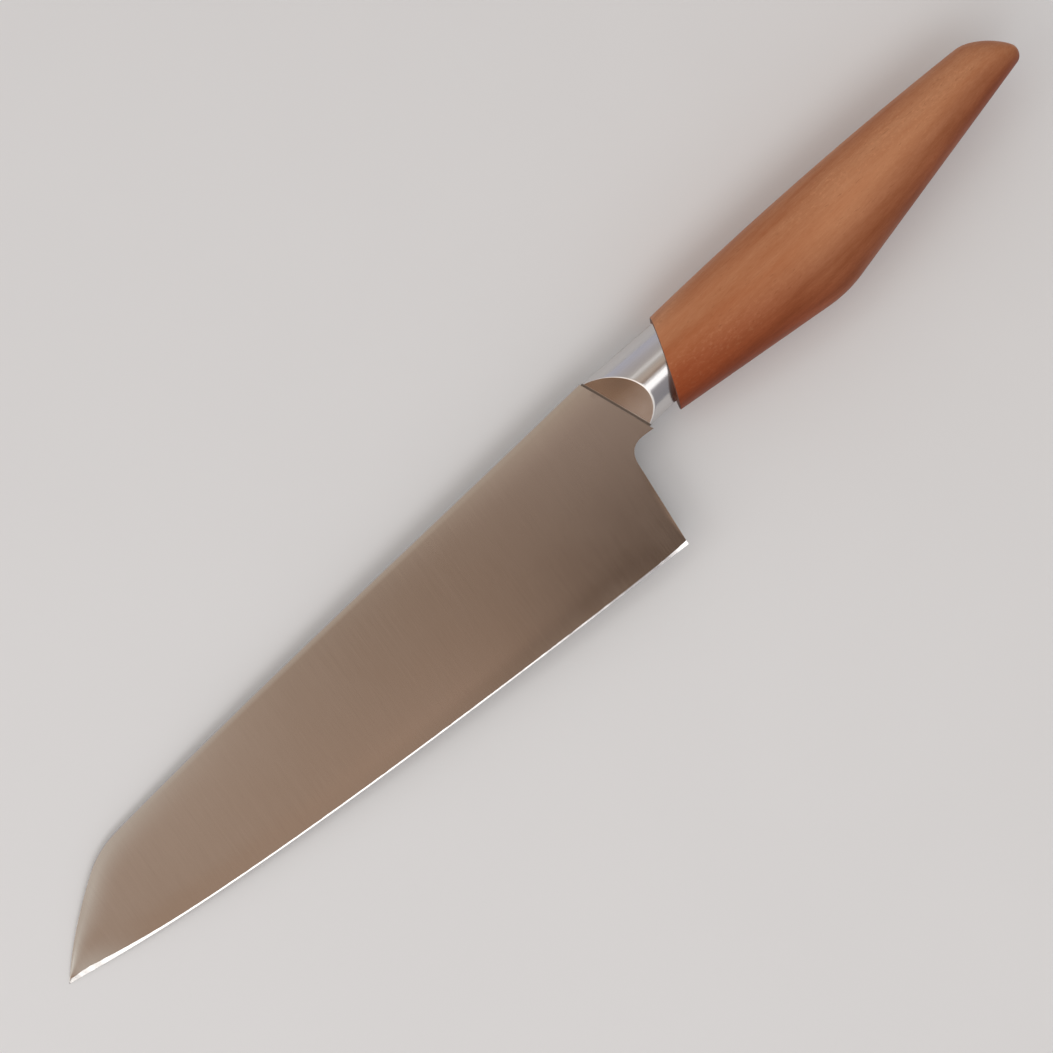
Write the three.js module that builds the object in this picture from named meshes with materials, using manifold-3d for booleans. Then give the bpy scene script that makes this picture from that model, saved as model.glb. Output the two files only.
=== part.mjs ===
// A bunka kitchen knife: a thin blade with an angled tip, a steel bolster with two slanted facets and
// a one-piece wooden handle, bedded over the blade's hidden tang.
//
// Millimetres and degrees. The knife lies on its right side: +X runs from the tip to the butt, +Y from
// the edge to the spine and +Z up through the thickness. It is drawn about its own plane of symmetry,
// from a datum where the spine meets the bolster. A reach is measured from the datum towards the tip
// and a drop from the spine line towards the edge. At the end the knife is set down with the bottom
// centre of its box on the origin.

import * as THREE from "three";
import { mergeVertices } from "three/addons/utils/BufferGeometryUtils.js";
import Module from "manifold-3d";

const wasm = await Module();
wasm.setup();

// Blade outline. A pull is the length of a curve's handle, a round the length that a corner takes up.
const TIP_REACH = 175;
const TIP_DROP = 17.35;
const HEEL_REACH = 7.1;
const HEEL_DROP = 42.75;
const EDGE_TIP_ANGLE = 14;
const EDGE_TIP_PULL = 20;
const EDGE_HEEL_ANGLE = 6;
const EDGE_HEEL_PULL = 120;
const SPINE_PULL = 50;
const SPINE_TIP_ANGLE = 1.8;
const SHOULDER_REACH = 149.7;
const SHOULDER_DROP = 0.2;
const SHOULDER_ROUND = 5.5;
const CUT_ANGLE = 29;
const CUT_PULL = 20;
const HEEL_SLANT = 11.9;
const CHOIL_DROP = 17.75;
const CHOIL_ROUND = 4.5;
const NECK_DROP = 18.75;
const SEAM_SLANT = 15.5;

// Blade section: full stock at the spine, ground flat on both sides down to the bevelled edge
const STOCK_THICKNESS = 2;
const GRIND_HEIGHT = 44;
const EDGE_THICKNESS = 0.4;
const BEVEL_ANGLE = 14;
const EDGE_ALLOWANCE = 10;

// Tang
const TANG_ROOT_HEIGHT = 11;
const TANG_END_HEIGHT = 7;
const TANG_END_COVER = 34;

// Bolster
const BOLSTER_TOP_LENGTH = 21.2;
const BOLSTER_TOP_DROP = 0.4;
const BOLSTER_TOP_FALL = 1.15;
const BOLSTER_THICKNESS = 16;
const NECK_PROUD = 0.95;
const FACET_LENGTH = 7;
const LIP_THICKNESS = 4;
const BOLSTER_POWER = 2;

// Handle
const HANDLE_LENGTH = 100.5;
const HANDLE_SLANT = 25.3;
const OVERHANG_TOP = 1.25;
const OVERHANG_LOW = 2.15;
const OVERHANG_SIDE = 1.6;
const BACK_BOW = 1.1;
const BACK_FALL = 4.3;
const BELLY_SETBACK = 35.8;
const BELLY_DROP = 27.15;
const BELLY_ROUND = 6;
const BELLY_THICKNESS = 21.6;
const BUTT_LENGTH = 10;
const BUTT_THICKNESS = 15.2;
const BUTT_TOP_PULL = 4.8;
const BUTT_END_PULL = 3.2;
const BUTT_NOSE_DROP = 13.4;
const BUTT_CORNER_DROP = 16.05;
const BUTT_CORNER_ROUND = 3;
const BUTT_FULLNESS = 3;
const HANDLE_POWER = 2.3;

// Fits: the gap left between two pieces that are joined, and the adhesive around the tang
const FIT_GAP = 0.2;
const BOND_WALL = 0.8;

// Fineness of the round stretches, and how often a search halves its range
const CURVE_STEPS = 10;
const EDGE_STEPS = 28;
const BOLSTER_SIDES = 48;
const HANDLE_SIDES = 32;
const HANDLE_RINGS = 40;
const HALVINGS = 40;

const SATIN_STEEL = { color: 0x93887d, roughness: 0.34, metalness: 1 };
const POLISHED_STEEL = { color: 0xb7b2ae, roughness: 0.16, metalness: 1 };
const CHERRY_WOOD = { color: 0xa5663f, roughness: 0.5, metalness: 0 };
const AMBER_RESIN = { color: 0xb9995c, roughness: 0.35, metalness: 0 };

// A length that passes every face of the knife, for the solids that it is cut with
const SPAN = 2 * (TIP_REACH + BOLSTER_TOP_LENGTH + HANDLE_LENGTH);

const radians = THREE.MathUtils.degToRad;
const slope = (angle) => Math.tan(radians(angle));
const at = (x, y) => new THREE.Vector2(x, y);

// The point a given length from another, at an angle to +X
function step(from, angle, length) {
  return at(from.x + length * Math.cos(radians(angle)), from.y + length * Math.sin(radians(angle)));
}

// The point a given length from another, on the way to a third
function towards(from, to, length) {
  return to.clone().sub(from).setLength(length).add(from);
}

// A path or shape's curve through a control point
function curveTo(path, control, end) {
  return path.quadraticCurveTo(control.x, control.y, end.x, end.y);
}

// A closed geometry as a solid that can be joined and cut
function solid(geometry) {
  geometry.deleteAttribute("normal");
  geometry.deleteAttribute("uv");
  const merged = mergeVertices(geometry);
  const vertProperties = merged.attributes.position.array;
  const triVerts = Uint32Array.from(merged.index.array);
  return new wasm.Manifold(new wasm.Mesh({ numProp: 3, vertProperties, triVerts }));
}

// A solid's surface as a geometry
function surface(body) {
  const { vertProperties, triVerts } = body.getMesh();
  const geometry = new THREE.BufferGeometry();
  geometry.setAttribute("position", new THREE.BufferAttribute(vertProperties.slice(), 3));
  geometry.setIndex(new THREE.BufferAttribute(triVerts.slice(), 1));
  geometry.computeVertexNormals();
  return geometry;
}

// A flat outline given a thickness, half of it on each side of the knife's plane
function slab(outline, thickness) {
  const options = { depth: thickness, bevelEnabled: false, curveSegments: CURVE_STEPS };
  const geometry = new THREE.ExtrudeGeometry(outline, options);
  return solid(geometry.translate(0, 0, -thickness / 2));
}

// A section run along a line in the knife's plane, through a point and at an angle to +X. The section
// is drawn as distance to the left of the line and height across the knife.
function runAlong(section, point, angle) {
  const geometry = new THREE.ExtrudeGeometry(section, { depth: SPAN, bevelEnabled: false });
  const along = new THREE.Vector3(Math.cos(radians(angle)), Math.sin(radians(angle)), 0);
  const left = new THREE.Vector3(-along.y, along.x, 0);
  const placed = new THREE.Matrix4().makeBasis(left, new THREE.Vector3(0, 0, 1), along);
  geometry.translate(0, 0, -SPAN / 2).applyMatrix4(placed);
  return solid(geometry.translate(point.x, point.y, 0));
}

// A closed skin over rings of as many points each, from front to back, with a flat front end. It ends
// in the pole, or flat on the last ring where there is none.
function loft(rings, pole) {
  const count = rings[0].length;
  const points = rings.flat();
  const last = points.length - count;
  const faces = [];
  for (let first = 0; first < last; first += count) {
    for (let k = 0; k < count; k++) {
      const a = first + k;
      const b = first + (k + 1) % count;
      faces.push(a, b, b + count, a, b + count, a + count);
    }
  }
  for (let k = 1; k + 1 < count; k++) {
    faces.push(0, k + 1, k);
  }
  if (pole) {
    points.push(pole);
    for (let k = 0; k < count; k++) {
      faces.push(last + k, last + (k + 1) % count, points.length - 1);
    }
  } else {
    for (let k = 1; k + 1 < count; k++) {
      faces.push(last, last + k, last + k + 1);
    }
  }
  const geometry = new THREE.BufferGeometry().setFromPoints(points);
  geometry.setIndex(faces);
  return solid(geometry);
}

// A ring through a top and a bottom point of the knife's plane. A power of 2 gives an ellipse, a higher
// one fuller flanks.
function oval(top, bottom, halfThickness, sides, power) {
  const middle = top.clone().add(bottom).divideScalar(2);
  const half = top.clone().sub(middle);
  const rounded = (value) => Math.sign(value) * Math.abs(value) ** (2 / power);
  return Array.from({ length: sides }, (_, k) => {
    const turn = (2 * Math.PI * k) / sides;
    const height = rounded(Math.cos(turn));
    const across = rounded(Math.sin(turn)) * halfThickness;
    return new THREE.Vector3(middle.x + half.x * height, middle.y + half.y * height, across);
  });
}

// The bolster's top and bottom lines, and the slanted plane where it meets the handle
const bolsterTop = (x) => -BOLSTER_TOP_DROP - (BOLSTER_TOP_FALL * x) / BOLSTER_TOP_LENGTH;
const bolsterBottom = -(NECK_DROP - NECK_PROUD);
const jointTop = at(BOLSTER_TOP_LENGTH, bolsterTop(BOLSTER_TOP_LENGTH));
const jointAt = (y) => at(jointTop.x + (y - jointTop.y) * slope(HANDLE_SLANT), y);

// Corners of the handle's outline
const frontTop = jointAt(jointTop.y + OVERHANG_TOP);
const frontBottom = jointAt(bolsterBottom - OVERHANG_LOW);
const belly = at(frontTop.x + BELLY_SETBACK, -BELLY_DROP);
const nose = at(frontTop.x + HANDLE_LENGTH, -BUTT_NOSE_DROP);
const buttCorner = at(nose.x, -BUTT_CORNER_DROP);
const buttTop = at(nose.x - BUTT_LENGTH, frontTop.y - BACK_FALL);

// The handle's back: a bowed line, then the round butt down to its nose
function handleBack() {
  const middle = frontTop.clone().add(buttTop).divideScalar(2);
  const bow = at(middle.x, middle.y + 2 * BACK_BOW);
  const pull = towards(buttTop, bow, -BUTT_TOP_PULL);
  const path = new THREE.Path().moveTo(frontTop.x, frontTop.y);
  curveTo(path, bow, buttTop);
  return path.bezierCurveTo(pull.x, pull.y, nose.x, nose.y + BUTT_END_PULL, nose.x, nose.y);
}

// The handle's underside: down to the belly, up to the butt and round its corner to the nose
function handleUnderside() {
  const bellyStart = towards(belly, frontBottom, BELLY_ROUND);
  const bellyEnd = towards(belly, buttCorner, BELLY_ROUND);
  const cornerStart = towards(buttCorner, belly, BUTT_CORNER_ROUND);
  const path = new THREE.Path().moveTo(frontBottom.x, frontBottom.y);
  path.lineTo(bellyStart.x, bellyStart.y);
  curveTo(path, belly, bellyEnd);
  path.lineTo(cornerStart.x, cornerStart.y);
  return curveTo(path, buttCorner, nose);
}

const back = handleBack();
const underside = handleUnderside();

// The height of a path where it passes x, found by halving
function heightAt(path, x) {
  let low = 0;
  let high = 1;
  for (let pass = 0; pass < HALVINGS; pass++) {
    const middle = (low + high) / 2;
    if (path.getPoint(middle).x < x) {
      low = middle;
    } else {
      high = middle;
    }
  }
  return path.getPoint(low).y;
}

// The tang's outline from the datum backwards, grown on every side but the front. It starts in the
// middle of the bolster and ends in the middle of the handle.
const tangEnd = nose.x - TANG_END_COVER;
const tangRootMiddle = (bolsterTop(0) + bolsterBottom) / 2;
const tangEndMiddle = (heightAt(back, tangEnd) + heightAt(underside, tangEnd)) / 2;

function tangOutline(grow) {
  return new THREE.Shape([
    at(0, tangRootMiddle - TANG_ROOT_HEIGHT / 2 - grow),
    at(tangEnd + grow, tangEndMiddle - TANG_END_HEIGHT / 2 - grow),
    at(tangEnd + grow, tangEndMiddle + TANG_END_HEIGHT / 2 + grow),
    at(0, tangRootMiddle + TANG_ROOT_HEIGHT / 2 + grow),
  ]);
}

const tangSlab = (grow) => slab(tangOutline(grow), STOCK_THICKNESS + 2 * grow);

// All that lies behind the bolster's back plane, moved along X
function behindJoint(offset) {
  const block = new THREE.BoxGeometry(SPAN, SPAN, SPAN).translate(SPAN / 2, 0, 0);
  block.rotateZ(-radians(HANDLE_SLANT));
  return solid(block.translate(jointTop.x + offset, jointTop.y, 0));
}

const tip = at(-TIP_REACH, -TIP_DROP);
const heel = at(-HEEL_REACH, -HEEL_DROP);

// The blade's outline without its tang, with an allowance left below the edge
function bladeOutline() {
  const shoulder = at(-SHOULDER_REACH, -SHOULDER_DROP);
  const spinePull = step(shoulder, SPINE_TIP_ANGLE, SPINE_PULL);
  const spineEnd = step(shoulder, SPINE_TIP_ANGLE, SHOULDER_ROUND);
  const cutPull = step(shoulder, 180 + CUT_ANGLE, CUT_PULL);
  const pastTip = towards(tip, cutPull, -EDGE_ALLOWANCE);
  const choil = at(heel.x + (HEEL_DROP - CHOIL_DROP) * slope(HEEL_SLANT), -CHOIL_DROP);
  const pastHeel = towards(heel, choil, -EDGE_ALLOWANCE);
  const heelTop = towards(choil, heel, CHOIL_ROUND);
  const neck = at(NECK_DROP * slope(SEAM_SLANT), -NECK_DROP);
  const outline = new THREE.Shape().moveTo(0, 0);
  outline.bezierCurveTo(-SPINE_PULL, 0, spinePull.x, spinePull.y, spineEnd.x, spineEnd.y);
  curveTo(outline, shoulder, towards(shoulder, cutPull, SHOULDER_ROUND));
  curveTo(outline, cutPull, tip);
  outline.lineTo(pastTip.x, pastTip.y);
  outline.lineTo(pastHeel.x, pastHeel.y);
  outline.lineTo(heelTop.x, heelTop.y);
  curveTo(outline, choil, towards(choil, neck, CHOIL_ROUND));
  return outline.lineTo(neck.x, neck.y);
}

// The two flat grinds, as a wedge that runs along the line from tip to heel
function grindWedge() {
  const widening = (STOCK_THICKNESS - EDGE_THICKNESS) / (2 * GRIND_HEIGHT);
  const start = -EDGE_THICKNESS / (2 * widening);
  const side = widening * (SPAN - start);
  const section = new THREE.Shape([at(start, 0), at(SPAN, -side), at(SPAN, side)]);
  const chord = heel.clone().sub(tip);
  return runAlong(section, tip, THREE.MathUtils.radToDeg(Math.atan2(chord.y, chord.x)));
}

// The two edge bevels, as a keel that follows the edge and is open towards the spine
function edgeKeel() {
  const tipPull = step(tip, -EDGE_TIP_ANGLE, EDGE_TIP_PULL);
  const heelPull = step(heel, 180 - EDGE_HEEL_ANGLE, EDGE_HEEL_PULL);
  const edge = new THREE.CubicBezierCurve(tip, tipPull, heelPull, heel).getPoints(EDGE_STEPS);
  const line = [step(tip, 180 - EDGE_TIP_ANGLE, SPAN), ...edge, step(heel, -EDGE_HEEL_ANGLE, SPAN)];
  const rise = STOCK_THICKNESS / slope(BEVEL_ANGLE);
  return loft(line.map(({ x, y }) => [
    new THREE.Vector3(x, SPAN, STOCK_THICKNESS),
    new THREE.Vector3(x, y + rise, STOCK_THICKNESS),
    new THREE.Vector3(x, y, 0),
    new THREE.Vector3(x, y + rise, -STOCK_THICKNESS),
    new THREE.Vector3(x, SPAN, -STOCK_THICKNESS),
  ]));
}

function makeBlade() {
  const blank = slab(bladeOutline(), STOCK_THICKNESS).add(tangSlab(0));
  return surface(blank.intersect(grindWedge()).intersect(edgeKeel()));
}

// The bolster's slanted front and its two facets, from the lip beside the blade to the full thickness
function facetWedge() {
  const seam = at(FIT_GAP, 0);
  const length = FACET_LENGTH * Math.cos(radians(SEAM_SLANT));
  const widening = (BOLSTER_THICKNESS - LIP_THICKNESS) / (2 * length);
  const lip = LIP_THICKNESS / 2;
  const side = lip + widening * SPAN;
  const section = new THREE.Shape([at(0, -lip), at(SPAN, -side), at(SPAN, side), at(0, lip)]);
  return runAlong(section, seam, SEAM_SLANT - 90);
}

function makeBolster() {
  const bar = loft([-BOLSTER_TOP_LENGTH, 2 * BOLSTER_TOP_LENGTH].map((x) => {
    const top = at(x, bolsterTop(x));
    const bottom = at(x, bolsterBottom);
    return oval(top, bottom, BOLSTER_THICKNESS / 2, BOLSTER_SIDES, BOLSTER_POWER);
  }));
  const body = bar.intersect(facetWedge()).subtract(behindJoint(-FIT_GAP));
  return surface(body.subtract(tangSlab(FIT_GAP)));
}

// Half the handle's thickness: a parabola through its front, belly and butt
function handleHalfThickness(x) {
  const front = (frontTop.x + frontBottom.x) / 2;
  const stations = [
    [front, BOLSTER_THICKNESS / 2 + OVERHANG_SIDE],
    [belly.x, BELLY_THICKNESS / 2],
    [buttTop.x, BUTT_THICKNESS / 2],
  ];
  let sum = 0;
  for (const [here, half] of stations) {
    let weight = 1;
    for (const [other] of stations) {
      weight *= other === here ? 1 : (x - other) / (here - other);
    }
    sum += weight * half;
  }
  return sum;
}

function makeHandle() {
  const [backLength, wholeLength] = back.getCurveLengths();
  const buttStart = backLength / wholeLength;
  const rings = [];
  for (let k = 0; k < HANDLE_RINGS; k++) {
    const along = Math.sin((Math.PI * k) / (2 * HANDLE_RINGS));
    const top = back.getPoint(along);
    const bottom = underside.getPoint(along);
    const roundedOff = Math.max(0, (along - buttStart) / (1 - buttStart));
    const left = Math.sqrt(1 - roundedOff ** BUTT_FULLNESS);
    const half = handleHalfThickness((top.x + bottom.x) / 2) * left;
    rings.push(oval(top, bottom, half, HANDLE_SIDES, HANDLE_POWER));
  }
  const body = loft(rings, new THREE.Vector3(nose.x, nose.y, 0));
  return surface(body.subtract(tangSlab(BOND_WALL + 2 * FIT_GAP)));
}

// The adhesive bed: a thin-walled cup over the tang, open at the handle's front
function makeTangBond() {
  const cup = tangSlab(FIT_GAP + BOND_WALL).subtract(tangSlab(FIT_GAP));
  return surface(cup.intersect(behindJoint(0)));
}

function piece(name, geometry, finish) {
  const mesh = new THREE.Mesh(geometry, new THREE.MeshStandardMaterial(finish));
  mesh.name = name;
  return mesh;
}

const drawn = new THREE.Group();
drawn.add(
  piece("blade", makeBlade(), SATIN_STEEL),
  piece("bolster", makeBolster(), POLISHED_STEEL),
  piece("handle", makeHandle(), CHERRY_WOOD),
  piece("tang_bond", makeTangBond(), AMBER_RESIN),
);

// The knife set down on its box
const box = new THREE.Box3().setFromObject(drawn);
const centre = box.getCenter(new THREE.Vector3());
drawn.position.set(-centre.x, -centre.y, -box.min.z);

const knife = new THREE.Group();
knife.add(drawn);

export default knife;
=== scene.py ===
"""A bunka knife, dressed for the camera: satin blade, polished bolster and oiled cherry handle.

The knife is drawn about its own plane of symmetry, from a datum where the spine meets the bolster. A
reach is measured from the datum towards the tip and a drop from the spine line towards the edge, as the
solids in the frame are. Everything is in metres.
"""

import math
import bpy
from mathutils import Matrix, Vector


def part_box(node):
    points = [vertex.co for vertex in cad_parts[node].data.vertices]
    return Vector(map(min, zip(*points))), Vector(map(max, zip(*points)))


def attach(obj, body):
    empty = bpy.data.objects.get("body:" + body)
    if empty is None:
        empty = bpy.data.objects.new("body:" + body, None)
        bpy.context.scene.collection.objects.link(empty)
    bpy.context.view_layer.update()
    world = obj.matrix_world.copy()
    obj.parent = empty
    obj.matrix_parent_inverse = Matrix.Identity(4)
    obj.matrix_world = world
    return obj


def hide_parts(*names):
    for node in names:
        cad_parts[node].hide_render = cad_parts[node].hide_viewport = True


bl_info = {
    "name": "Bunka Knife",
    "version": (1, 0, 0),
    "blender": (4, 5, 0),
    "location": "3D View > Sidebar > Knife",
    "description": "Builds a bunka knife's blade, bolster and handle, and a plain stage to show it on",
    "category": "Add Mesh",
}

from functools import partialmethod
from itertools import accumulate

import bmesh
import bpy
from bpy.props import FloatProperty, FloatVectorProperty, IntProperty, PointerProperty
from bpy.types import Operator, Panel, PropertyGroup
from mathutils import Matrix, Vector, noise
from mathutils.geometry import interpolate_bezier

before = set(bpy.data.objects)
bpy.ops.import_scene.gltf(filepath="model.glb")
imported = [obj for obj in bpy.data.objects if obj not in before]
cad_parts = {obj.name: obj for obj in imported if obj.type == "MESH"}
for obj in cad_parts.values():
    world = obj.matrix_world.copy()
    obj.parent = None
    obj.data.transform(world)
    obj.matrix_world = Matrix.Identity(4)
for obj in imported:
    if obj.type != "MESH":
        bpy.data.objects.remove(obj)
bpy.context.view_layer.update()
BLADE_LOW, BLADE_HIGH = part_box("blade")
BOLSTER_LOW, BOLSTER_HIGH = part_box("bolster")
BOLSTER_THICKNESS = BOLSTER_HIGH.z - BOLSTER_LOW.z

MILLIMETRE = 0.001
QUARTER_TURN = math.pi / 2
# Points closer than this are one point, on the blade and on the rings of the other pieces
WELD, RING_WELD = 1e-7, 1e-6
# Edges that turn more than this stay sharp, on the blade and on the other pieces
BLADE_CREASE, CREASE = math.radians(9), math.radians(32)


# Kinds of property

def length(name, description, millimetres):
    default = millimetres * MILLIMETRE
    return FloatProperty(name=name, description=description, default=default, precision=5, unit="LENGTH")


def angle(name, description, degrees):
    default = math.radians(degrees)
    return FloatProperty(
        name=name, description=description, default=default, subtype="ANGLE", unit="ROTATION"
    )


def number(name, description, default):
    return FloatProperty(name=name, description=description, default=default, min=0)


def count(name, description, default):
    return IntProperty(name=name, description=description, default=default, min=1)


def colour(name, description, *default):
    return FloatVectorProperty(
        name=name, description=description, default=default, min=0, max=1, subtype="COLOR"
    )


class BladeSizes(PropertyGroup):
    """The blade's outline, its grind and its tang."""

    tip_reach: length("Tip Reach", "From the datum to the tip", 175)
    tip_drop: length("Tip Drop", "From the spine line to the tip", 17.35)
    heel_reach: length("Heel Reach", "From the datum to the heel", 7.1)
    heel_drop: length("Heel Drop", "From the spine line to the heel", 42.75)
    edge_tip_angle: angle("Edge Angle at Tip", "How steeply the edge leaves the tip", 14)
    edge_tip_pull: length("Edge Pull at Tip", "Length of the edge curve's handle at the tip", 20)
    edge_heel_angle: angle("Edge Angle at Heel", "How steeply the edge meets the heel", 6)
    edge_heel_pull: length("Edge Pull at Heel", "Length of the edge curve's handle at the heel", 120)
    spine_pull: length("Spine Pull", "Length of the spine curve's handles", 50)
    spine_tip_angle: angle("Spine Angle", "Slope of the spine where it meets the shoulder", 1.78)
    shoulder_reach: length("Shoulder Reach", "From the datum to the corner of the angled tip", 149.7)
    shoulder_drop: length("Shoulder Drop", "From the spine line to that corner", 0.2)
    shoulder_round: length("Shoulder Round", "Length that the corner's rounding takes up", 5.5)
    cut_angle: angle("Cut Angle", "Slope of the angled tip", 29)
    cut_pull: length("Cut Pull", "Length of the angled tip's curve handle", 20)
    heel_slant: angle("Heel Slant", "Lean of the heel's back wall", 11.9)
    choil_drop: length("Choil Drop", "From the spine line to the top of the heel notch", 17.75)
    choil_round: length("Choil Round", "Length that the notch's rounding takes up", 4.5)
    neck_drop: length("Neck Drop", "Height of the blade at the bolster", 18.75)
    neck_proud: length("Neck Proud", "How far the neck stands out below the bolster", 0.95)
    seam_slant: angle("Seam Slant", "Lean of the line where the blade meets the bolster", 15.5)
    stock: length("Stock", "Thickness of the steel at the top of the grind", 2)
    grind_height: length("Grind Height", "Height of the flat grind above the line from tip to heel", 44)
    edge_thickness: length("Edge Thickness", "Thickness behind the honed bevel", 0.4)
    bevel_tip: length("Bevel at Tip", "Greatest width of the honed bevel, near the tip", 1.3)
    bevel_middle: length("Bevel in Middle", "Width of the honed bevel along the belly", 0.36)
    bevel_heel: length("Bevel at Heel", "Width of the honed bevel at the heel", 0.95)
    bevel_run: length("Bevel Run", "From the tip to where the honed bevel is widest", 6)
    bevel_flare: length("Bevel Flare", "Stretch over which the honed bevel widens to the heel", 7)
    bevel_angle_tip: angle("Bevel Angle at Tip", "Slope of each honed face at the tip", 14)
    bevel_angle_heel: angle("Bevel Angle at Heel", "Slope of each honed face at the heel", 17)
    bevel_blend: length("Bevel Blend", "Strip above the bevel where it runs into the flat grind", 6)
    bevel_wander: number("Bevel Wander", "Share by which the hand-honed bevel's width wanders", 0.12)
    bevel_wander_pitch: length("Bevel Wander Pitch", "Length of one such wander along the edge", 2)
    wall_ease: length("Wall Ease", "How far the faces have rolled at the heel's back wall", 0.03)
    wall_ease_reach: length("Wall Ease Reach", "Strip beside that wall where the faces roll over", 2)
    ease_tip: length("Ease at Tip", "How far the faces have rolled at the top of the tip", 0.22)
    ease_fade: number("Ease Fade", "Share of the edge's length over which that roll dies away", 0.45)
    ease_seam: length("Ease at Seam", "How far the faces have rolled at the spine by the bolster", 0.09)
    ease_height_tip: length("Ease Height at Tip", "Strip below the spine where the faces roll over", 7)
    ease_height_seam: length("Ease Height at Seam", "The same strip by the bolster", 9)
    spine_round: length("Spine Round", "Radius of the spine's two long corners", 0.3)
    heel_lead: length("Heel Lead", "Stretch of spine that the heel notch is joined to", 16)
    tang_root: length("Tang Root", "Height of the tang where it leaves the blade", 11)
    fit_gap: length("Fit Gap", "Gap between two pieces that are joined", 0.2)
    bond_wall: length("Bond Wall", "Thickness of the adhesive around the tang", 0.8)
    edge_steps: count("Edge Steps", "Steps along the edge", 260)
    notch_steps: count("Notch Steps", "Steps along each stretch of the heel notch", 14)
    face_rows: count("Face Rows", "Rows up each face", 12)


class BolsterSizes(PropertyGroup):
    """The bolster's barrel and its two facets."""

    top_length: length("Top Length", "Length along the top, from the seam to the handle", 21.2)
    top_drop: length("Top Drop", "Step down from the spine to the bolster", 0.4)
    top_fall: length("Top Fall", "How far the top slopes down towards the handle", 1.15)
    facet_length: length("Facet Length", "Length of the two facets", 7)
    lip: length("Lip", "Thickness of the bolster beside the blade", 4)
    lip_round: length("Lip Round", "Rounding of the lip at the seam", 0.42)
    rim_round_top: length("Rim Round, Top", "Rounding of the facet's rim near the spine", 0.15)
    rim_round_low: length("Rim Round, Low", "Rounding of the facet's rim near the heel", 0.95)
    seam_gap: length("Seam Gap", "Gap between the lip and the blade", 0.03)
    joint_gap: length("Joint Gap", "Gap between the barrel and the wood", 0.03)
    sides: count("Sides", "Points around the barrel", 144)


class HandleSizes(PropertyGroup):
    """The handle's two outlines and its section."""

    back_length: length("Back Length", "From the front of the back to the nose", 100.49)
    slant: angle("Front Slant", "Lean of the front face", 25.3)
    overhang_top: length("Overhang, Top", "How far the wood stands above the bolster", 1.25)
    overhang_low: length("Overhang, Low", "How far the wood stands below the bolster", 2.15)
    overhang_side: length("Overhang, Side", "How far the wood stands out beside the bolster", 1.6)
    back_bow: length("Back Bow", "Rise of the back's bow", 1.09)
    back_fall: length("Back Fall", "Fall of the back from front to butt", 4.3)
    belly_setback: length("Belly Setback", "From the front to the belly's corner", 35.8)
    belly_drop: length("Belly Drop", "From the spine line to the belly's corner", 27.15)
    belly_round: length("Belly Round", "Length that the belly's rounding takes up", 5)
    belly_thickness: length("Belly Thickness", "Thickness at the belly", 21.59)
    butt_length: length("Butt Length", "Length of the round butt", 10)
    butt_thickness: length("Butt Thickness", "Thickness where the butt starts", 15.2)
    butt_top_pull: length("Butt Pull, Top", "Length of the butt curve's upper handle", 4.8)
    butt_end_pull: length("Butt Pull, End", "Length of the butt curve's handle at the nose", 2)
    nose_drop: length("Nose Drop", "From the spine line to the nose", 13.4)
    butt_corner_drop: length("Butt Corner Drop", "From the spine line to the butt's lower corner", 16.05)
    butt_corner_round: length("Butt Corner Round", "Length that this corner's rounding takes up", 2)
    butt_fullness: number("Butt Fullness", "How late the butt thins towards the nose", 4)
    section_power: number("Section Power", "2 for an oval section, more for fuller flanks", 2.3)
    rim_round: length("Rim Round", "Rounding of the front face's rim", 0.2)
    sides: count("Sides", "Points around the handle", 128)
    rings: count("Rings", "Rings along the handle", 150)


class KnifeColours(PropertyGroup):
    """The finishes' colours."""

    steel: colour("Blade Steel", "Satin steel of the blade", 0.57, 0.55, 0.53)
    honed: colour("Honed Steel", "Bright steel of the honed bevel", 0.90, 0.88, 0.85)
    polished: colour("Bolster Steel", "Polished steel of the bolster", 0.66, 0.645, 0.64)
    # Satin steel, darker and browner than the blade's: its brown tint is a painted reflection of warm
    # surroundings
    facet: colour("Facet Steel", "Satin steel of the bolster's facets", 0.42, 0.34, 0.28)
    # Painted shade: a dark colour for the lip's step at the seam, where the lip stands above the blade
    seam: colour("Seam", "The dark line between the blade and the bolster", 0.17, 0.135, 0.11)
    wood_light: colour("Light Wood", "The wood between its dark streaks", 0.51, 0.24, 0.122)
    wood_mid: colour("Mid Wood", "The wood's main colour", 0.355, 0.108, 0.037)
    # Painted shade: a deeper, more saturated tone low on the handle's front
    wood_rich: colour("Rich Wood", "The wood at the handle's front, below its middle", 0.38, 0.06, 0.004)
    # Painted shade: the wood darkened along the belly
    wood_deep: colour("Deep Wood", "The wood along the belly", 0.165, 0.030, 0.007)
    wood_dark: colour("Dark Wood", "The wood's pores and end grain", 0.17, 0.045, 0.015)
    resin: colour("Resin", "The adhesive around the tang", 0.48, 0.32, 0.11)
    floor: colour("Floor", "The stage's floor", 0.79, 0.80, 0.81)


class StageSizes(PropertyGroup):
    """The floor and the camera."""

    balance_reach: length("Balance Reach", "From the datum to where the knife balances", 8.2)
    balance_drop: length("Balance Drop", "From the spine line to where the knife balances", 11.9)
    floor_size: length("Floor Size", "Side of the floor", 12000)
    camera_height: length("Camera Height", "From the blade's plane up to the camera", 780)
    camera_turn: angle("Camera Turn", "Turn of the picture about the line of sight", -44)
    view_width: length("View Width", "Width of the picture at the blade's plane", 235.4)
    view_reach: length("View Reach", "From the datum to the picture's centre", 30.45)
    view_drop: length("View Drop", "From the spine line to the picture's centre", 14.78)


PROPERTY_GROUPS = {
    "knife_blade": BladeSizes,
    "knife_bolster": BolsterSizes,
    "knife_handle": HandleSizes,
    "knife_colours": KnifeColours,
    "knife_stage": StageSizes,
}


# Drawing in the knife's plane

def point(x, y):
    return Vector((x, y))


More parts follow.
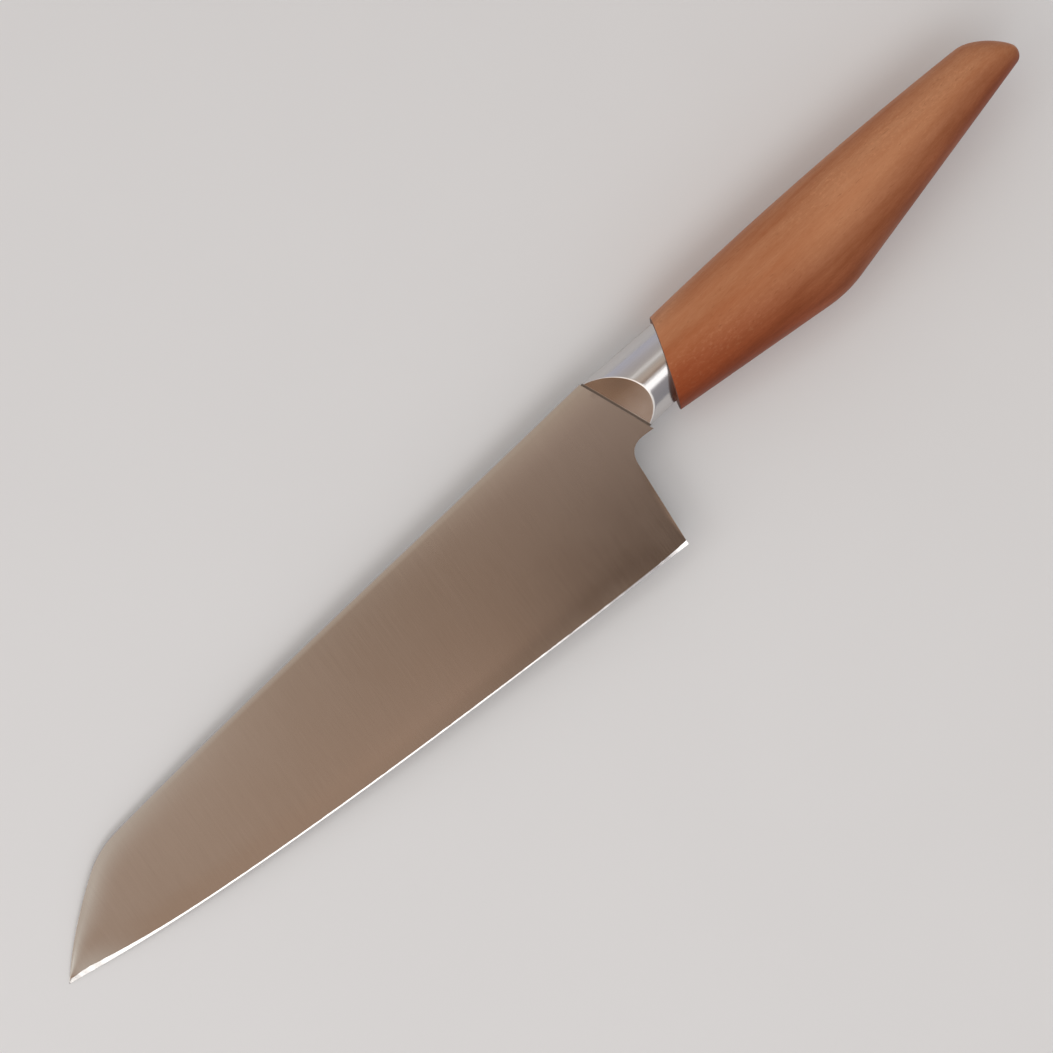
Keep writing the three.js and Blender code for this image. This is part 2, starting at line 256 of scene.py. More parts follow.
def mix(start, end, part):
    """A number, or a value in a node tree, on the way from one to another."""
    return start + (end - start) * part


def step(start, turn, distance):
    """The point a given distance from another, at an angle to +X."""
    return start + distance * point(math.cos(turn), math.sin(turn))


def towards(start, end, distance):
    """The point a given distance from another, on the way to a third."""
    return start + distance * (end - start).normalized()


def straight(start, end):
    """A straight line, as a Bezier segment."""
    return start, start.lerp(end, 1 / 3), start.lerp(end, 2 / 3), end


def bent(start, control, end):
    """A curve pulled towards one control point, as a Bezier segment."""
    return start, start.lerp(control, 2 / 3), end.lerp(control, 2 / 3), end


def trace(segments, fineness=200):
    """Points along Bezier segments that follow each other."""
    traced = [segments[0][0]]
    for segment in segments:
        traced += interpolate_bezier(*segment, fineness + 1)[1:]
    return traced


def run_of(traced):
    """The length of a traced line."""
    return sum((b - a).length for a, b in zip(traced, traced[1:]))


def spread(traced, shares):
    """The points that lie at given shares of a traced line's length."""
    runs = [0, *accumulate((b - a).length for a, b in zip(traced, traced[1:]))]
    spots = []
    here = 0
    for part in shares:
        while here + 2 < len(runs) and runs[here + 1] < part * runs[-1]:
            here += 1
        along = (part * runs[-1] - runs[here]) / (runs[here + 1] - runs[here])
        spots.append(traced[here].lerp(traced[here + 1], along))
    return spots


def even(steps):
    """Shares from 0 to 1 in even steps."""
    return [k / steps for k in range(steps + 1)]


def datum():
    """Where the drawing's datum lies in the frame, from the blade's tip, heel and middle plane."""
    blade = bpy.context.scene.knife_blade
    middle = (BLADE_LOW.z + BLADE_HIGH.z) / 2
    return Vector((BLADE_LOW.x + blade.tip_reach, BLADE_LOW.y + blade.heel_drop, middle))


def placed(spot, across=0):
    """A point of the drawing, and its distance from the knife's plane, as a place in the frame."""
    return datum() + Vector((spot.x, spot.y, across))


def bolster_bottom():
    """Where the bolster's underside lies in the drawing, at the seam."""
    blade = bpy.context.scene.knife_blade
    return blade.neck_proud - blade.neck_drop


# Node trees

class Value:
    """A number in a node tree. Arithmetic on it adds Math nodes to that tree."""

    def __init__(self, socket):
        self.socket = socket

    def operate(self, operation, *others):
        node = self.socket.id_data.nodes.new("ShaderNodeMath")
        node.operation = operation
        for pin, value in zip(node.inputs, (self, *others)):
            plug(pin, value)
        return Value(node.outputs[0])

    __add__ = __radd__ = partialmethod(operate, "ADD")
    __mul__ = __rmul__ = partialmethod(operate, "MULTIPLY")
    __neg__ = partialmethod(operate, "MULTIPLY", -1)
    __sub__ = partialmethod(operate, "SUBTRACT")
    __truediv__ = partialmethod(operate, "DIVIDE")
    __pow__ = partialmethod(operate, "POWER")
    __abs__ = partialmethod(operate, "ABSOLUTE")
    at_least = partialmethod(operate, "MAXIMUM")
    at_most = partialmethod(operate, "MINIMUM")
    sign = partialmethod(operate, "SIGN")
    sine = partialmethod(operate, "SINE")
    cosine = partialmethod(operate, "COSINE")
    tangent = partialmethod(operate, "TANGENT")
    exponential = partialmethod(operate, "EXPONENT")

    def __rsub__(self, other):
        return self.operate("MULTIPLY_ADD", -1, other)

    def within(self, start, run):
        """How far the number has come from a start, as a share of a run that stops at 0 and 1."""
        return ((self - start) / run).at_least(0).at_most(1)

    def near(self, centre, reach):
        """How near the number is to a centre: 1 there, and 0 from a reach away."""
        return (1 - abs(self - centre) / reach).at_least(0)

    def rounded(self, power):
        """The number raised to a power, with its sign kept."""
        return self.sign() * abs(self) ** power


def plug(pin, value):
    """Sets a node's input to a number, or joins it to another node's output."""
    if isinstance(value, Value):
        value = value.socket
    if isinstance(value, bpy.types.NodeSocket):
        pin.id_data.links.new(value, pin)
    else:
        pin.default_value = value


def add(tree, kind, inputs=None, **settings):
    """A new node with its settings made and its inputs plugged."""
    node = tree.nodes.new(kind)
    for name, value in settings.items():
        setattr(node, name, value)
    for name, value in (inputs or {}).items():
        plug(node.inputs[name], value)
    return node


def combine(tree, x, y, z):
    return add(tree, "ShaderNodeCombineXYZ", {"X": x, "Y": y, "Z": z}).outputs[0]


def separate(tree, vector):
    node = add(tree, "ShaderNodeSeparateXYZ", {"Vector": vector})
    return tuple(Value(pin) for pin in node.outputs)


def open_tree(kind, name, inputs, outputs):
    """A node group with sockets of given names and types. Returns it and its inputs' values by name."""
    tree = bpy.data.node_groups.new(name, kind)
    for in_out, sockets in (("INPUT", inputs), ("OUTPUT", outputs)):
        for socket, socket_type in sockets.items():
            tree.interface.new_socket(socket, in_out=in_out, socket_type="NodeSocket" + socket_type)
    group_input = tree.nodes.new("NodeGroupInput")
    return tree, {name: Value(group_input.outputs[name]) for name in inputs}


def ring_grid(tree, rings, sides):
    """A grid to roll up into rings. Returns its mesh, the rings passed so far and the turn around them."""
    inputs = {"Vertices X": rings + 1, "Vertices Y": sides + 1}
    grid = add(tree, "GeometryNodeMeshGrid", inputs)
    along, around, _ = separate(tree, grid.outputs["UV Map"])
    return grid.outputs["Mesh"], along * rings, around * math.tau


def close_rings(tree, grid, place, marks, material, offset=(0, 0, 0)):
    """Ends a geometry tree: the grid's points put in place, marked and welded, and the material set."""
    inputs = {"Geometry": grid, "Position": place, "Offset": offset}
    shape = add(tree, "GeometryNodeSetPosition", inputs).outputs[0]
    for name, value in marks.items():
        inputs = {"Geometry": shape, "Name": name, "Value": value}
        shape = add(tree, "GeometryNodeStoreNamedAttribute", inputs, data_type="FLOAT").outputs[0]
    for kind, inputs in {
        "GeometryNodeMergeByDistance": {"Distance": RING_WELD},
        "GeometryNodeRealizeInstances": {},
        "GeometryNodeSetMaterial": {"Material": material},
    }.items():
        shape = add(tree, kind, {"Geometry": shape, **inputs}).outputs[0]
    plug(tree.nodes.new("NodeGroupOutput").inputs[0], shape)


SOCKET_TYPES = {
    float: "Float",
    int: "Int",
    Vector: "Vector",
    bpy.types.Object: "Object",
    bpy.types.Material: "Material",
}


def grown(name, draw, values):
    """A plain mesh object that a geometry tree draws from named inputs, set to the given values."""
    inputs = {socket: SOCKET_TYPES[type(value)] for socket, value in values.items()}
    tree, sizes = open_tree("GeometryNodeTree", name, inputs, {"Geometry": "Geometry"})
    draw(tree, sizes)
    piece = new_object(name, bpy.data.meshes.new(name))
    modifier = piece.modifiers.new(name, "NODES")
    modifier.node_group = tree
    for item in tree.interface.items_tree:
        if item.name in values:
            modifier[item.identifier] = values[item.name]
    bake_modifiers(piece)
    return piece


def named_sizes(group):
    """A property group's values by the names that a user sees."""
    properties = group.bl_rna.properties
    return {properties[field].name: getattr(group, field) for field in type(group).__annotations__}


# Objects and meshes

def new_object(name, data):
    made = bpy.data.objects.new(name, data)
    bpy.context.scene.collection.objects.link(made)
    return made


def band(shape, near, far):
    """Faces between two rings of points, in the order of the points."""
    around = zip(near, near[1:] + near[:1], far[1:] + far[:1], far)
    return [shape.faces.new(corners) for corners in around]


def closed_mesh(name, shape):
    """A mesh of a closed shape, with its faces turned outwards. The shape itself is used up."""
    bmesh.ops.recalc_face_normals(shape, faces=shape.faces)
    mesh = bpy.data.meshes.new(name)
    shape.to_mesh(mesh)
    shape.free()
    return mesh


def bake_modifiers(piece):
    """Turns a piece and its modifiers into a plain mesh."""
    evaluated = piece.evaluated_get(bpy.context.evaluated_depsgraph_get())
    baked = bpy.data.meshes.new_from_object(evaluated)
    piece.modifiers.clear()
    old = piece.data
    piece.data = baked
    bpy.data.meshes.remove(old)
    baked.name = piece.name


def combined(piece, operation, other):
    """Joins a helper solid to a piece, or cuts it out, and removes the helper."""
    modifier = piece.modifiers.new(operation.title(), "BOOLEAN")
    modifier.operation = operation
    modifier.solver = "EXACT"
    modifier.object = other
    bake_modifiers(piece)
    bpy.data.objects.remove(other)


def smooth(piece, crease):
    """Outward faces with smooth shading, apart from the edges that turn more than the crease angle."""
    shape = bmesh.new()
    shape.from_mesh(piece.data)
    bmesh.ops.recalc_face_normals(shape, faces=shape.faces)
    shape.to_mesh(piece.data)
    shape.free()
    piece.data.shade_smooth()
    piece.data.set_sharp_from_angle(angle=crease)


def dress(piece, material):
    piece.data.materials.clear()
    piece.data.materials.append(material)


def finish_piece(piece, node, material, crease):
    """Hands a piece over in place of the CAD node that it stands for."""
    smooth(piece, crease)
    dress(piece, material)
    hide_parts(node)
    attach(piece, "root")


# The blade

# The tang's sides lie this far inside the blade's, so that no two faces coincide
TANG_INSET = 0.01 * MILLIMETRE
# The corners of the tang's end lie within this of the blade's far end
TANG_END = 0.1 * MILLIMETRE
# The honed bevel takes up at most this share of a section's height
BEVEL_MOST = 0.6
# The wander of the honed bevel dies away over this share of the edge, before the heel
WANDER_END = 0.05
# The roll beside the heel's back wall grows over its first sections and dies away over its last ones
WALL_EASE_FIRST, WALL_EASE_LAST = 4, 6


def blade_ends(size):
    """The tip and the heel, where the edge ends."""
    return point(-size.tip_reach, -size.tip_drop), point(-size.heel_reach, -size.heel_drop)


def blade_lines(size):
    """The blade's outlines from the tip on: over the cut and spine, along the edge, round the notch."""
    tip, heel = blade_ends(size)
    shoulder = point(-size.shoulder_reach, -size.shoulder_drop)
    cut_pull = step(shoulder, math.pi + size.cut_angle, size.cut_pull)
    cut_end = towards(shoulder, cut_pull, size.shoulder_round)
    spine_start = step(shoulder, size.spine_tip_angle, size.shoulder_round)
    spine_pull = step(shoulder, size.spine_tip_angle, size.spine_pull)
    spine = (spine_start, spine_pull, point(-size.spine_pull, 0), point(0, 0))
    over = [bent(tip, cut_pull, cut_end), bent(cut_end, shoulder, spine_start), spine]
    tip_pull = step(tip, -size.edge_tip_angle, size.edge_tip_pull)
    heel_pull = step(heel, math.pi - size.edge_heel_angle, size.edge_heel_pull)
    edge = [(tip, tip_pull, heel_pull, heel)]
    wall_run = (size.heel_drop - size.choil_drop) * math.tan(size.heel_slant)
    choil = point(heel.x + wall_run, -size.choil_drop)
    neck = point(size.neck_drop * math.tan(size.seam_slant), -size.neck_drop)
    wall_start = towards(heel, choil, size.bevel_heel)
    wall_end = towards(choil, heel, size.choil_round)
    choil_end = towards(choil, neck, size.choil_round)
    notch = [straight(wall_start, wall_end), bent(wall_end, choil, choil_end), straight(choil_end, neck)]
    return over, edge, notch


def grind_half(size, spot):
    """Half the blade's thickness between its flat grinds."""
    tip, heel = blade_ends(size)
    above = (heel - tip).normalized().cross(spot - tip)
    return mix(size.edge_thickness, size.stock, above / size.grind_height) / 2


def honed_bevel(size, along, whole, edge):
    """Width and slope of the honed bevel at a distance from the tip.

    It is wide near the tip, narrow along the belly, and flares at the heel, where it meets the flat grind.
    """
    swell = along / size.bevel_run * math.exp(1 - along / size.bevel_run)
    flare = math.exp((along - whole) / size.bevel_flare)
    width = mix(size.bevel_middle, size.bevel_tip, swell) + (size.bevel_heel - size.bevel_middle) * flare
    slope = math.tan(mix(size.bevel_angle_tip, size.bevel_angle_heel, (along / whole) ** 2))
    return width, mix(slope, grind_half(size, edge) / width, flare)


def honing_wander(size, along, whole):
    """How far hand honing has moved the bevel's upper line, as a factor of its width."""
    wander = noise.noise(Vector((along / size.bevel_wander_pitch, 0, 0)))
    return 1 + size.bevel_wander * wander * min(1, (1 - along / whole) / WANDER_END)


def blade_column(size, bottom, foot, top, lip, ease, roll, half_at):
    """One section of the blade as points up its face, each with half the thickness there.

    The section starts at its bottom, rolled in by the lip, turns at the foot of the face, rolls in below
    the spine and ends in the spine's round corner. Where the section is small, the roll stays within half
    its height and a third of its thickness, and the corner within a fifth and a half.
    """
    left = (top - foot).length
    ease = min(ease, left / 2)
    depth = min(roll, half_at(top) / 3)
    corner = min(size.spine_round, left / 5)
    falls = [mix(left, ease, part) for part in even(size.face_rows)]
    falls += [mix(ease, corner, part) for part in even(size.face_rows // 2)[1:]]
    section = [(bottom, half_at(bottom) - lip)]
    for fall in falls:
        spot = towards(top, foot, fall)
        rolled = max(0, 1 - fall / max(ease, WELD))
        section.append((spot, half_at(spot) - depth * rolled**3))
    last = section[-1][1]
    corner = min(corner, last / 2)
    for part in even(size.face_rows)[1:]:
        turn = part * QUARTER_TURN
        spot = towards(top, foot, corner * (1 - math.sin(turn)))
        section.append((spot, last - corner * (1 - math.cos(turn))))
    return section


def blade_columns(size):
    """The blade's sections from the tip to the seam, and how many of them end in the honed edge."""
    over, edge, notch = blade_lines(size)
    over, edge, walls = trace(over), trace(edge), trace(notch, size.notch_steps)
    whole = run_of(edge)
    lead = 1 - size.heel_lead / run_of(over)
    shares = even(size.edge_steps)
    tops = spread(over, [lead * part for part in shares])
    columns = []
    for part, bottom, top in zip(shares, spread(edge, shares), tops):
        bevel, keel = honed_bevel(size, part * whole, whole, bottom)
        wander = honing_wander(size, part * whole, whole)
        roll = size.ease_tip * max(0, 1 - part / size.ease_fade) + size.ease_seam * part**3
        ease = mix(size.ease_height_tip, size.ease_height_seam, part)
        foot = towards(bottom, top, min(bevel * wander, BEVEL_MOST * (top - bottom).length))
        if part == 1:
            foot = walls[0]
        excess = bevel * keel - grind_half(size, towards(bottom, top, bevel))

        def face_half(spot):
            above = max(0, (spot - bottom).length - bevel)
            return grind_half(size, spot) + excess * max(0, 1 - above / size.bevel_blend) ** 2

        def edge_half(spot):
            return min(face_half(spot), (spot - bottom).length * keel / wander)

        columns.append(blade_column(size, bottom, foot, top, 0, ease, roll, edge_half))
    # The walls of the heel notch go on from the heel's own section, with its roll and its face
    tops = spread(over, [mix(lead, 1, part) for part in even(len(walls) - 1)])
    for number_along, (wall, top) in enumerate(zip(walls, tops)):
        growing = number_along / WALL_EASE_FIRST
        fading = (size.notch_steps - number_along) / WALL_EASE_LAST
        eased = max(0, min(1, growing, fading))
        foot = towards(wall, top, eased * size.wall_ease_reach)
        columns.append(blade_column(size, wall, foot, top, eased * size.wall_ease, ease, roll, face_half))
    return columns, len(shares)


def blade_shell(size):
    """The blade without its tang, as a closed mesh whose honed faces are marked."""
    columns, honed_columns = blade_columns(size)
    shape = bmesh.new()
    honed = shape.faces.layers.float.new("honed")
    rings = []
    for column in columns:
        left = [placed(spot, half) for spot, half in column]
        right = [placed(spot, -half) for spot, half in reversed(column)]
        rings.append([shape.verts.new(place) for place in left + right])
    for number_along, (near, far) in enumerate(zip(rings, rings[1:])):
        faces = band(shape, near, far)
        if number_along + 1 < honed_columns:
            # The lowest face on each side of the blade
            faces[0][honed] = faces[-2][honed] = 1
    shape.faces.new(rings[-1])
    bmesh.ops.remove_doubles(shape, verts=shape.verts, dist=WELD)
    return closed_mesh("blade_steel", shape)


def tang_block(grow, half_at):
    """The tang grown on every side but the front, with half its thickness given by a rule."""
    blade = bpy.context.scene.knife_blade
    middle = (bolster_bottom() - bpy.context.scene.knife_bolster.top_drop) / 2
    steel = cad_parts["blade"].data.vertices
    end = [vertex.co - datum() for vertex in steel if vertex.co.x > BLADE_HIGH.x - TANG_END]
    end_low = min(end, key=lambda corner: corner.y)
    end_high = max(end, key=lambda corner: corner.y)
    outline = [
        point(0, middle - blade.tang_root / 2 - grow),
        point(end_low.x + grow, end_low.y - grow),
        point(end_high.x + grow, end_high.y + grow),
        point(0, middle + blade.tang_root / 2 + grow),
    ]
    shape = bmesh.new()
    right = [shape.verts.new(placed(spot, -half_at(spot))) for spot in outline]
    left = [shape.verts.new(placed(spot, half_at(spot))) for spot in outline]
    shape.faces.new(reversed(right))
    shape.faces.new(left)
    band(shape, right, left)
    return new_object("tang_block", closed_mesh("tang_block", shape))


# The bolster

def bend(start, control, end, part):
    """How far a rounded corner has moved from its start."""
    return (control - start) * (part * (1 - part) * 2) + (end - start) * (part * part)


def bolster_rings(tree, size):
    """Rings from the seam's middle, over the lip, facet, rim and barrel, to the joint's middle."""
    lip_rings, facet_rings, rim_rings, barrel_rings = 6, 10, 10, 12
    ring_counts = (1, lip_rings, facet_rings, rim_rings, barrel_rings, 1)
    # How soon the rim's rounding shrinks from the underside to the top
    rim_change = 0.4
    grid, along, turn = ring_grid(tree, sum(ring_counts), size["Sides"])
    height, across = turn.cosine(), turn.sine()
    high = (height + 1) / 2
    top, bottom = -size["Top Drop"], size["Bottom"]

    # Each point around the barrel runs along a straight line y = start + fall * x
    seam, joint = size["Seam Slant"].tangent(), size["Joint Slant"].tangent()
    joint_x, joint_y = size["Top Length"] - size["Joint Gap"], top - size["Top Fall"]
    start = mix(bottom, top, high)
    fall = size["Top Fall"] / size["Top Length"] * -high
    front_x = (size["Seam Gap"] - start * seam) / (fall * seam + 1)
    back_x = (joint_x + (start - joint_y) * joint) / (1 - fall * joint)
    full = abs(across) * size["Thickness"] / 2
    half_lip = size["Lip"] / 2
    lip = full.at_most(half_lip)
    widening = (size["Thickness"] / 2 - half_lip) / size["Facet Length"]
    rim_x = front_x + (full - lip) / widening
    facet_run = rim_x - front_x

    def on_line(x, half):
        return x, start + fall * x, half

    def on_facet(x):
        return on_line(x, (lip + (x - front_x) * widening).at_most(full))

    def on_seam(y, half):
        return size["Seam Gap"] - y * seam, y, half

    # The path of a point from ring to ring, with rounded corners at the lip and at the facet's rim
    rim_round = mix(size["Rim Round, Low"], size["Rim Round, Top"], high**rim_change)
    rim_start = mix(rim_x, front_x, rim_round / (facet_run + rim_round))
    lip_y = start + fall * front_x - height * size["Lip Round"]
    centre = on_seam(mix(bottom, top, 0.5), lip * 0)
    inner = on_seam(lip_y, lip * (1 - size["Lip Round"] / half_lip))
    lip_corner = on_line(front_x, lip)
    lip_after = on_facet(mix(front_x, rim_start, 0.5).at_most(front_x + size["Lip Round"]))
    rim_before = on_facet(rim_start)
    rim_corner = on_line(rim_x, full)
    rim_after = on_line(rim_x + rim_round.at_most(facet_run), full)
    back = on_line(back_x, full)
    back_y = mix(bottom, joint_y, 0.5)
    back_centre = (joint_x + (back_y - joint_y) * joint, back_y, lip * 0)

    # Progress through the stretches of that path, one after the other
    ring_starts = [0, *accumulate(ring_counts)]
    stretches = [along.within(first, rings) for first, rings in zip(ring_starts, ring_counts)]
    to_lip, round_lip, over_facet, round_rim, over_barrel, to_back = stretches
    place = []
    for axis in range(3):
        value = mix(centre[axis], inner[axis], to_lip)
        value += bend(inner[axis], lip_corner[axis], lip_after[axis], round_lip)
        value += (rim_before[axis] - lip_after[axis]) * over_facet
        value += bend(rim_before[axis], rim_corner[axis], rim_after[axis], round_rim)
        value += (back[axis] - rim_after[axis]) * over_barrel
        value += (back_centre[axis] - back[axis]) * to_back
        place.append(value)
    x, y, half = place
    marks = {
        "facet": round_lip * (1 - round_rim) * facet_run.within(0, MILLIMETRE),
        "low": (1 - height) / 2,
    }
    place = combine(tree, x, y, half * across.sign())
    close_rings(tree, grid, place, marks, size["Material"], size["Datum"])


# The handle

def handle_rails(size):
    """The handle's back and underside, each as Bezier segments, and the points its thickness is set at."""
    bolster = bpy.context.scene.knife_bolster
    joint = point(bolster.top_length, -bolster.top_drop - bolster.top_fall)

    def on_joint(y):
        return point(joint.x + (y - joint.y) * math.tan(size.slant), y)

    front_top = on_joint(joint.y + size.overhang_top)
    front_low = on_joint(bolster_bottom() - size.overhang_low)
    belly = point(front_top.x + size.belly_setback, -size.belly_drop)
    nose = point(front_top.x + size.back_length, -size.nose_drop)
    butt_corner = point(nose.x, -size.butt_corner_drop)
    butt_top = point(nose.x - size.butt_length, front_top.y - size.back_fall)
    bow = (front_top + butt_top) / 2 + point(0, 2 * size.back_bow)
    butt_pull = towards(butt_top, bow, -size.butt_top_pull)
    nose_pull = nose + point(0, size.butt_end_pull)
    back = [bent(front_top, bow, butt_top), (butt_top, butt_pull, nose_pull, nose)]
    belly_start = towards(belly, front_low, size.belly_round)
    belly_end = towards(belly, butt_corner, size.belly_round)
    corner_start = towards(butt_corner, belly, size.butt_corner_round)
    underside = [
        straight(front_low, belly_start),
        bent(belly_start, belly, belly_end),
        straight(belly_end, corner_start),
        bent(corner_start, butt_corner, nose),
    ]
    stations = ((front_top.x + front_low.x) / 2, belly.x, butt_top.x)
    return back, underside, stations


def rail_object(name, segments):
    """Bezier segments as a curve object for a geometry tree to follow."""
    curve = bpy.data.curves.new(name, "CURVE")
    curve.dimensions = "3D"
    curve.resolution_u = 64
    knots = curve.splines.new("BEZIER").bezier_points
    knots.add(len(segments))
    for knot in knots:
        knot.handle_left_type = knot.handle_right_type = "FREE"
    for segment, near, far in zip(segments, knots, knots[1:]):
        near.co, near.handle_right, far.handle_left, far.co = (placed(spot) for spot in segment)
    knots[0].handle_left = knots[0].co
    knots[-1].handle_right = knots[-1].co
    return new_object(name, curve)


def handle_rings(tree, size):
    """Oval rings hung between the handle's back and its underside, from its front face to its nose."""
    rim_rings = 6
    all_rings = size["Rings"] + (rim_rings + 1)
    grid, along, turn = ring_grid(tree, all_rings, size["Sides"])
    to_rim = along.within(0, 1)
    rim_turn = along.within(1, rim_rings) * QUARTER_TURN
    inset = size["Rim Round"] * (1 - rim_turn.sine())
    depth = size["Rim Round"] * (1 - rim_turn.cosine())
    body_turn = along.within(rim_rings + 1, size["Rings"]) * QUARTER_TURN

    rails = []
    for name in ("Back", "Underside"):
        info = add(tree, "GeometryNodeObjectInfo", {"Object": size[name]}, transform_space="RELATIVE")
        rails.append(info.outputs["Geometry"])
    back_length = Value(add(tree, "GeometryNodeCurveLength", {"Curve": rails[0]}).outputs[0])
    rim_share = size["Rim Round"] / back_length
    passed = depth / back_length + (1 - rim_share) * body_turn.sine()
    ends = []
    for rail in rails:
        inputs = {"Curves": rail, "Factor": passed}
        sample = add(tree, "GeometryNodeSampleCurve", inputs, mode="FACTOR", use_all_curves=True)
        ends.append(separate(tree, sample.outputs["Position"]))
    middle = [(top + low) / 2 for top, low in zip(*ends)]
    upright = [(top - low) / 2 for top, low in zip(*ends)]
    half_height = (upright[0] ** 2 + upright[1] ** 2) ** 0.5
    lowered = ((half_height - inset) / half_height.at_least(WELD)).at_least(0) * to_rim

    # Half the thickness: a parabola through front, belly and butt, thinned to nothing at the nose
    stations = [size[name] for name in ("Front", "Belly", "Butt")]
    half = 0
    for name, here in zip(("Front Half", "Belly Half", "Butt Half"), stations):
        weight = size[name]
        for other in stations:
            if other is not here:
                weight = weight * (middle[0] - other) / (here - other)
        half += weight
    rounded_off = passed.within(size["Butt Start"], 1 - size["Butt Start"])
    half = half * (1 - rounded_off ** size["Butt Fullness"]).at_least(0) ** 0.5
    half = (half - inset).at_least(0) * to_rim

    power = size["Section Power"] ** -1 * 2
    height = turn.cosine().rounded(power) * lowered
    x, y = (centre + reach * height for centre, reach in zip(middle[:2], upright))
    place = combine(tree, x, y, middle[2] + turn.sine().rounded(power) * half)
    marks = {"belly": (1 - turn.cosine()) / 2, "end_grain": 1 - along.within(1, 2)}
    close_rings(tree, grid, place, marks, size["Material"])


# Finishes

# Where a Mix node keeps its two colours and its result
MIX_START, MIX_END, MIX_RESULT = 6, 7, 2


def brushed_lines(name):
    """The shader group for fine lines along Y, so many to the metre and so many times as long as wide."""
    inputs = {"Vector": "Vector", "Fineness": "Float", "Length": "Float"}
    tree, value = open_tree("ShaderNodeTree", name, inputs, {"Lines": "Float"})
    x, y, z = separate(tree, value["Vector"])
    fine = value["Fineness"]
    stretched = combine(tree, x * fine, y * fine / value["Length"], z * fine)
    inputs = {"Vector": stretched, "Scale": 1, "Detail": 3, "Roughness": 0.6}
    texture = add(tree, "ShaderNodeTexNoise", inputs)
    plug(tree.nodes.new("NodeGroupOutput").inputs["Lines"], texture.outputs["Fac"])
    return tree


def hand_marks(name):
    """The shader group for the cloudy marks that handling and wiping leave on a finish."""
    inputs = {"Vector": "Vector", "Scale": "Float"}
    tree, value = open_tree("ShaderNodeTree", name, inputs, {"Marks": "Float"})
    texture = add(tree, "ShaderNodeTexNoise", {**value, "Detail": 4, "Roughness": 0.55, "Distortion": 0.4})
    marks = Value(texture.outputs["Fac"]).within(0.3, 0.4)
    plug(tree.nodes.new("NodeGroupOutput").inputs["Marks"], marks)
    return tree


def grouped(tree, name, build, inputs):
    """The single output of a shader group, which is built the first time that it is placed."""
    group = bpy.data.node_groups.get(name) or build(name)
    return Value(add(tree, "ShaderNodeGroup", inputs, node_tree=group).outputs[0])


def brushed(tree, place, fineness, stretch):
    inputs = {"Vector": place, "Fineness": fineness, "Length": stretch}
    return grouped(tree, "Brushed Lines", brushed_lines, inputs)


def handled(tree, place, scale):
    return grouped(tree, "Hand Marks", hand_marks, {"Vector": place, "Scale": scale})


def new_material(name):
    """A material with an empty tree but for its surface. Returns it, its tree and its surface's inputs."""
    material = bpy.data.materials.new(name)
    material.use_nodes = True
    tree = material.node_tree
    tree.nodes.clear()
    surface = tree.nodes.new("ShaderNodeBsdfPrincipled")
    plug(tree.nodes.new("ShaderNodeOutputMaterial").inputs["Surface"], surface.outputs["BSDF"])
    return material, tree, surface.inputs


def object_place(tree, turn=0):
    """The place on the piece, turned about Z."""
    place = tree.nodes.new("ShaderNodeTexCoord").outputs["Object"]
    if not turn:
        return place
    return add(tree, "ShaderNodeMapping", {"Vector": place, "Rotation": (0, 0, turn)}).outputs[0]


def marked(tree, attribute):
    """A mark that is stored on the piece's mesh."""
    return Value(add(tree, "ShaderNodeAttribute", attribute_name=attribute).outputs["Fac"])


def blended(tree, part, start, end):
    """A colour between two others."""
    node = add(tree, "ShaderNodeMix", {"Factor": part}, data_type="RGBA")
    for pin, shade in ((MIX_START, start), (MIX_END, end)):
        plug(node.inputs[pin], shade if isinstance(shade, bpy.types.NodeSocket) else (*shade, 1))
    return node.outputs[MIX_RESULT]


def shaded(shade, level):
    """A colour made darker or lighter."""
    return tuple(value * level for value in shade)


def toned(tree, part, shade, low, high=1):
    """A colour that a pattern takes from a low level to a high one."""
    return blended(tree, part, shaded(shade, low), shaded(shade, high))


def bumped(tree, height, depth, strength):
    node = add(tree, "ShaderNodeBump", {"Height": height, "Distance": depth, "Strength": strength})
    return node.outputs["Normal"]


def satin_steel(colours, chord_turn):
    """The blade's steel: ground from spine to edge, with a bright honed bevel."""
    material, tree, surface = new_material("satin_steel")
    place = object_place(tree, chord_turn)
    fine = brushed(tree, place, fineness=9000, stretch=90)
    broad = brushed(tree, place, fineness=1600, stretch=60)
    marks = handled(tree, place, scale=45)
    honed = marked(tree, "honed")
    lines = fine * 0.7 + broad * 0.3
    ground = toned(tree, lines.within(0.3, 0.4), colours.steel, low=0.96, high=1.03)
    bright = toned(tree, broad.within(0.35, 0.3), colours.honed, low=0.94)
    plug(surface["Base Color"], blended(tree, honed, ground, bright))
    ground_roughness = 0.08 + lines * 0.035 + marks * 0.02
    honed_roughness = 0.14 + broad * 0.06
    plug(surface["Roughness"], mix(ground_roughness, honed_roughness, honed))
    plug(surface["Normal"], bumped(tree, fine, depth=0.01 * MILLIMETRE, strength=0.06))
    surface["Metallic"].default_value = 1
    return material


